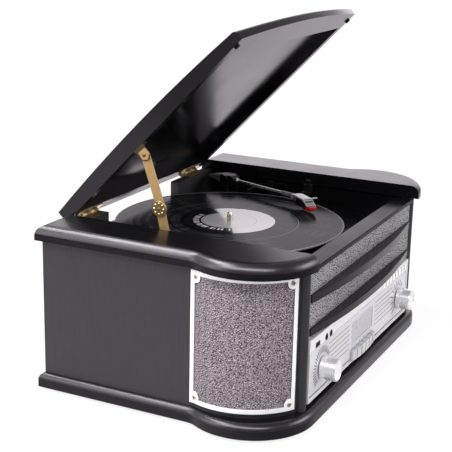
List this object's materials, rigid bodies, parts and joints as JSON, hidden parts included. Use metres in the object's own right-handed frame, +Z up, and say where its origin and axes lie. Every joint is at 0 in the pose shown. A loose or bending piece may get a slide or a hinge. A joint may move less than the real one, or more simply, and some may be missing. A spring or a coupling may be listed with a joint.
{
  "type": "record player",
  "caption": "Retro tabletop record player: black wooden cabinet with round turret corners, side speaker grilles, silver control plate, hinged lid on a brass stay and a belt-driven deck.",
  "frame": {"origin": "on the table under the middle of the object's box", "axes": "+X to the right seen from the front, +Y to the back where the lid hinges, +Z up"},
  "size_m": [0.521, 0.3654, 0.4565],
  "materials": {
    "cabinet_black": "satin black paint with fine vertical grain",
    "deck_black": "fine satin",
    "grille_silver": "bright satin",
    "grille_fabric": "woven, mottled grey",
    "plate_silver": "bright silver lacquer",
    "display_grey": "glossy, unlit",
    "knob_silver": "turned and brushed",
    "key_silver": "silver lacquer",
    "brass": "polished",
    "rubber_black": "matt",
    "vinyl_black": "grooved gloss",
    "label_paper": "plain printed rings",
    "platter_grey": "satin",
    "arm_silver": "bright",
    "arm_black": "satin black",
    "cartridge_red": "clear red",
    "steel": "ground",
    "socket_metal": "bright",
    "socket_black": "moulded",
    "circuit_green": "solder mask",
    "core_iron": "laminated and varnished",
    "speaker_paper": "black pulp cone"
  },
  "bodies": {
    "cabinet": {"base_board": "cabinet_black", "rubber_feet": "rubber_black", "side_panels": "cabinet_black", "speaker_baffles": "cabinet_black", "grille_frames": "grille_silver", "grille_cloths": "grille_fabric", "speakers": "speaker_paper", "top_boards": "cabinet_black", "well_walls": "cabinet_black", "back_panel": "cabinet_black", "front_rail": "cabinet_black", "front_panel": "cabinet_black", "front_cloth": "grille_fabric", "trim_bars": "cabinet_black", "faceplate": "plate_silver", "display_window": "display_grey", "usb_socket": "socket_metal", "audio_jacks": "socket_black", "control_board": "circuit_green", "hinge_frame_leaves": "brass", "stay_wall_bracket": "brass", "deck_plate": "deck_black", "platter_bearing": "steel", "drive_belt": "rubber_black", "drive_motor": "steel", "arm_base": "arm_black", "arm_rest": "arm_black", "rca_sockets": "socket_metal", "mains_inlet": "socket_black", "transformer": "core_iron", "amplifier_board": "circuit_green"},
    "lid": {"lid_panel": "cabinet_black", "lid_rails": "cabinet_black", "lid_bumpers": "rubber_black", "hinge_lid_leaves": "brass", "stay_lid_bracket": "brass"},
    "stay_upper": {"stay_upper_arm": "brass"},
    "stay_lower": {"stay_lower_arm": "brass"},
    "turntable": {"platter": "platter_grey", "platter_mat": "rubber_black", "spindle": "steel", "vinyl_record": "vinyl_black", "record_label": "label_paper"},
    "pulley": {"motor_pulley": "steel"},
    "arm_yoke": {"arm_gimbal": "arm_black"},
    "arm": {"arm_pivot_block": "arm_black", "arm_tube": "arm_silver", "headshell": "arm_silver", "cartridge": "cartridge_red"},
    "clip": {"arm_clip": "arm_black"},
    "cue": {"cue_lever": "arm_silver"},
    "selector": {"speed_selector": "arm_silver"},
    "volume": {"volume_knob": "knob_silver"},
    "tuning": {"tuning_knob": "knob_silver"},
    "key_1": {"button_1": "key_silver"},
    "key_2": {"button_2": "key_silver"},
    "key_3": {"button_3": "key_silver"},
    "key_4": {"button_4": "key_silver"},
    "key_5": {"button_5": "key_silver"},
    "key_6": {"button_6": "key_silver"}
  },
  "joints": [
    {"name": "lid_hinge", "type": "hinge", "parent": "cabinet", "child": "lid", "pos_m": [0, 0.1676, 0.1996], "axis": [1, 0, 0], "range_deg": [0, 45.9]},
    {"name": "stay_lid_pivot", "type": "hinge", "parent": "lid", "child": "stay_upper", "pos_m": [-0.1756, 0.05895, 0.2972], "axis": [1, 0, 0], "range_deg": [-109.04, 1]},
    {"name": "stay_elbow", "type": "hinge", "parent": "stay_upper", "child": "stay_lower", "pos_m": [-0.1777, 0.03712, 0.23483], "axis": [1, 0, 0], "range_deg": [-1, 158.4]},
    {"name": "platter_spin", "type": "hinge", "parent": "cabinet", "child": "turntable", "pos_m": [-0.016, 0.024, 0.166], "axis": [0, 0, 1], "continuous": true},
    {"name": "pulley_spin", "type": "hinge", "parent": "cabinet", "child": "pulley", "pos_m": [-0.016, 0.104, 0.166], "axis": [0, 0, 1], "continuous": true},
    {"name": "arm_swing", "type": "hinge", "parent": "cabinet", "child": "arm_yoke", "pos_m": [0.15, 0.107, 0.1945], "axis": [0, 0, 1], "range_deg": [-18, 20.8]},
    {"name": "arm_lift", "type": "hinge", "parent": "arm_yoke", "child": "arm", "pos_m": [0.15, 0.107, 0.1945], "axis": [0.9397, -0.342, 0], "range_deg": [-8.35, 0]},
    {"name": "cue_turn", "type": "hinge", "parent": "cabinet", "child": "cue", "pos_m": [0.16819, 0.05068, 0.1892], "axis": [-1, 0, 0], "range_deg": [-30, 0]},
    {"name": "clip_turn", "type": "hinge", "parent": "cabinet", "child": "clip", "pos_m": [0.1572, -0.01499, 0.1983], "axis": [0, -1, 0], "range_deg": [0, 80]},
    {"name": "speed_slide", "type": "slide", "parent": "cabinet", "child": "selector", "axis": [0, 1, 0], "range_m": [0, 0.012]},
    {"name": "volume_turn", "type": "hinge", "parent": "cabinet", "child": "volume", "pos_m": [-0.14, -0.1625, 0.06], "axis": [0, -1, 0], "range_deg": [-150, 150]},
    {"name": "tuning_turn", "type": "hinge", "parent": "cabinet", "child": "tuning", "pos_m": [0.14, -0.1625, 0.06], "axis": [0, -1, 0], "continuous": true},
    {"name": "key_1_press", "type": "slide", "parent": "cabinet", "child": "key_1", "axis": [0, 1, 0], "range_m": [0, 0.002], "stiffness_N_per_m": 300},
    {"name": "key_2_press", "type": "slide", "parent": "cabinet", "child": "key_2", "axis": [0, 1, 0], "range_m": [0, 0.002], "stiffness_N_per_m": 300},
    {"name": "key_3_press", "type": "slide", "parent": "cabinet", "child": "key_3", "axis": [0, 1, 0], "range_m": [0, 0.002], "stiffness_N_per_m": 300},
    {"name": "key_4_press", "type": "slide", "parent": "cabinet", "child": "key_4", "axis": [0, 1, 0], "range_m": [0, 0.002], "stiffness_N_per_m": 300},
    {"name": "key_5_press", "type": "slide", "parent": "cabinet", "child": "key_5", "axis": [0, 1, 0], "range_m": [0, 0.002], "stiffness_N_per_m": 300},
    {"name": "key_6_press", "type": "slide", "parent": "cabinet", "child": "key_6", "axis": [0, 1, 0], "range_m": [0, 0.002], "stiffness_N_per_m": 300}
  ],
  "couplings": [
    {"joint": "stay_lid_pivot", "follows": "lid_hinge", "ratio": -2.3538},
    {"joint": "stay_elbow", "follows": "lid_hinge", "ratio": 3.4291},
    {"joint": "pulley_spin", "follows": "platter_spin", "ratio": 9.3582},
    {"joint": "arm_lift", "follows": "cue_turn", "ratio": 0.2451}
  ]
}
